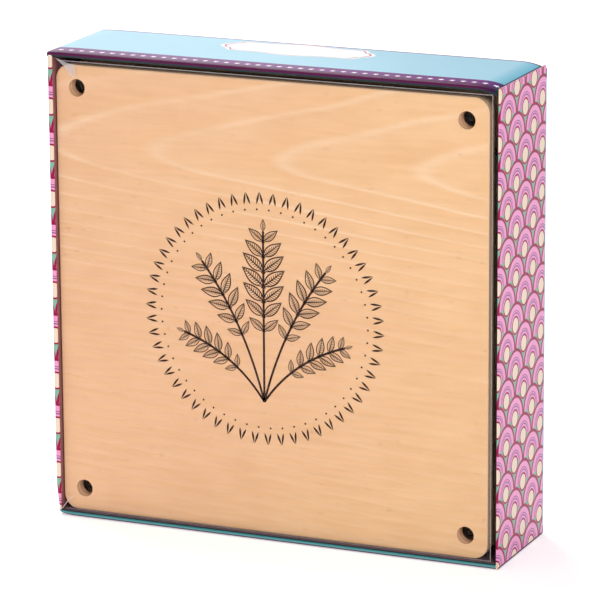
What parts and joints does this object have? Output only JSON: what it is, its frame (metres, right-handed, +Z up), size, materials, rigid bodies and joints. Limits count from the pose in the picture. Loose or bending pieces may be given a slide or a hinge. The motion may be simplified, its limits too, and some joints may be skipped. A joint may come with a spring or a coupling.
{
  "type": "flower press in window box",
  "caption": "Square plywood flower press with corner bolts, corrugated cards and blotting sheets, standing in an open-fronted card carton behind clear film.",
  "frame": {"origin": "middle of the carton's footprint, on the surface it stands on", "axes": "+Z up, -Y towards the open front, +X to the right as seen from the front"},
  "size_m": [0.1876, 0.05, 0.1874],
  "materials": {
    "carton_turquoise": "printed, satin",
    "carton_pink": "printed, satin",
    "liner_card": "dark, matte",
    "clear_film": "clear, glossy",
    "plywood": "sanded, unvarnished",
    "corrugated_card": "raw kraft",
    "blotting_paper": "matte, soft",
    "grey_card": "raw greyboard",
    "zinc_steel": "zinc plated"
  },
  "bodies": {
    "carton": {"carton_top": "carton_turquoise", "carton_bottom": "carton_turquoise", "carton_back": "carton_turquoise", "carton_left": "carton_pink", "carton_right": "carton_pink", "liner_bottom": "liner_card", "liner_top": "liner_card", "liner_left": "liner_card", "liner_right": "liner_card", "liner_shelf": "liner_card"},
    "hardware_set": {"hardware_card": "grey_card", "riser_upper": "grey_card", "riser_lower": "grey_card", "bolt_1": "zinc_steel", "bolt_2": "zinc_steel", "bolt_3": "zinc_steel", "bolt_4": "zinc_steel"},
    "rear_board": {"rear_board": "plywood"},
    "corrugated_card_1": {"corrugated_card_1": "corrugated_card"},
    "blotter_1": {"blotter_1": "blotting_paper"},
    "blotter_2": {"blotter_2": "blotting_paper"},
    "corrugated_card_2": {"corrugated_card_2": "corrugated_card"},
    "blotter_3": {"blotter_3": "blotting_paper"},
    "blotter_4": {"blotter_4": "blotting_paper"},
    "corrugated_card_3": {"corrugated_card_3": "corrugated_card"},
    "blotter_5": {"blotter_5": "blotting_paper"},
    "blotter_6": {"blotter_6": "blotting_paper"},
    "corrugated_card_4": {"corrugated_card_4": "corrugated_card"},
    "blotter_7": {"blotter_7": "blotting_paper"},
    "blotter_8": {"blotter_8": "blotting_paper"},
    "corrugated_card_5": {"corrugated_card_5": "corrugated_card"},
    "front_board": {"front_board": "plywood"},
    "window_film": {"window_film": "clear_film"},
    "washer_1": {"washer_1": "zinc_steel"},
    "wing_nut_1": {"wing_nut_1": "zinc_steel"},
    "washer_2": {"washer_2": "zinc_steel"},
    "wing_nut_2": {"wing_nut_2": "zinc_steel"},
    "washer_3": {"washer_3": "zinc_steel"},
    "wing_nut_3": {"wing_nut_3": "zinc_steel"},
    "washer_4": {"washer_4": "zinc_steel"},
    "wing_nut_4": {"wing_nut_4": "zinc_steel"}
  },
  "joints": [
    {"name": "hardware_set_out", "type": "slide", "parent": "carton", "child": "hardware_set", "axis": [0, -1, 0], "range_m": [0, 0.055]},
    {"name": "rear_board_off", "type": "slide", "parent": "hardware_set", "child": "rear_board", "axis": [0, -1, 0], "range_m": [0, 0.04]},
    {"name": "corrugated_card_1_lift", "type": "slide", "parent": "rear_board", "child": "corrugated_card_1", "axis": [0, -1, 0], "range_m": [0, 0.03]},
    {"name": "blotter_1_lift", "type": "slide", "parent": "corrugated_card_1", "child": "blotter_1", "axis": [0, -1, 0], "range_m": [0, 0.03]},
    {"name": "blotter_2_lift", "type": "slide", "parent": "blotter_1", "child": "blotter_2", "axis": [0, -1, 0], "range_m": [0, 0.03]},
    {"name": "corrugated_card_2_lift", "type": "slide", "parent": "blotter_2", "child": "corrugated_card_2", "axis": [0, -1, 0], "range_m": [0, 0.03]},
    {"name": "blotter_3_lift", "type": "slide", "parent": "corrugated_card_2", "child": "blotter_3", "axis": [0, -1, 0], "range_m": [0, 0.03]},
    {"name": "blotter_4_lift", "type": "slide", "parent": "blotter_3", "child": "blotter_4", "axis": [0, -1, 0], "range_m": [0, 0.03]},
    {"name": "corrugated_card_3_lift", "type": "slide", "parent": "blotter_4", "child": "corrugated_card_3", "axis": [0, -1, 0], "range_m": [0, 0.03]},
    {"name": "blotter_5_lift", "type": "slide", "parent": "corrugated_card_3", "child": "blotter_5", "axis": [0, -1, 0], "range_m": [0, 0.03]},
    {"name": "blotter_6_lift", "type": "slide", "parent": "blotter_5", "child": "blotter_6", "axis": [0, -1, 0], "range_m": [0, 0.03]},
    {"name": "corrugated_card_4_lift", "type": "slide", "parent": "blotter_6", "child": "corrugated_card_4", "axis": [0, -1, 0], "range_m": [0, 0.03]},
    {"name": "blotter_7_lift", "type": "slide", "parent": "corrugated_card_4", "child": "blotter_7", "axis": [0, -1, 0], "range_m": [0, 0.03]},
    {"name": "blotter_8_lift", "type": "slide", "parent": "blotter_7", "child": "blotter_8", "axis": [0, -1, 0], "range_m": [0, 0.03]},
    {"name": "corrugated_card_5_lift", "type": "slide", "parent": "blotter_8", "child": "corrugated_card_5", "axis": [0, -1, 0], "range_m": [0, 0.03]},
    {"name": "front_board_lift", "type": "slide", "parent": "corrugated_card_5", "child": "front_board", "axis": [0, -1, 0], "range_m": [0, 0.04]},
    {"name": "window_film_off", "type": "slide", "parent": "front_board", "child": "window_film", "axis": [0, -1, 0], "range_m": [0, 0.04]},
    {"name": "washer_1_ride", "type": "slide", "parent": "hardware_set", "child": "washer_1", "axis": [0, -1, 0], "range_m": [0, 0.00561]},
    {"name": "wing_nut_1_turn", "type": "hinge", "parent": "washer_1", "child": "wing_nut_1", "pos_m": [-0.0824, 0.0179, 0.1733], "axis": [0, -1, 0], "range_deg": [0, 2520]},
    {"name": "washer_2_ride", "type": "slide", "parent": "hardware_set", "child": "washer_2", "axis": [0, -1, 0], "range_m": [0, 0.00561]},
    {"name": "wing_nut_2_turn", "type": "hinge", "parent": "washer_2", "child": "wing_nut_2", "pos_m": [0.0796, 0.0179, 0.1733], "axis": [0, -1, 0], "range_deg": [0, 2520]},
    {"name": "washer_3_ride", "type": "slide", "parent": "hardware_set", "child": "washer_3", "axis": [0, -1, 0], "range_m": [0, 0.00561]},
    {"name": "wing_nut_3_turn", "type": "hinge", "parent": "washer_3", "child": "wing_nut_3", "pos_m": [-0.0824, 0.0179, 0.0113], "axis": [0, -1, 0], "range_deg": [0, 2520]},
    {"name": "washer_4_ride", "type": "slide", "parent": "hardware_set", "child": "washer_4", "axis": [0, -1, 0], "range_m": [0, 0.00561]},
    {"name": "wing_nut_4_turn", "type": "hinge", "parent": "washer_4", "child": "wing_nut_4", "pos_m": [0.0796, 0.0179, 0.0113], "axis": [0, -1, 0], "range_deg": [0, 2520]}
  ],
  "couplings": [
    {"joint": "washer_1_ride", "follows": "wing_nut_1_turn", "m_per_rad": 0.00012732},
    {"joint": "washer_2_ride", "follows": "wing_nut_2_turn", "m_per_rad": 0.00012732},
    {"joint": "washer_3_ride", "follows": "wing_nut_3_turn", "m_per_rad": 0.00012732},
    {"joint": "washer_4_ride", "follows": "wing_nut_4_turn", "m_per_rad": 0.00012732}
  ]
}
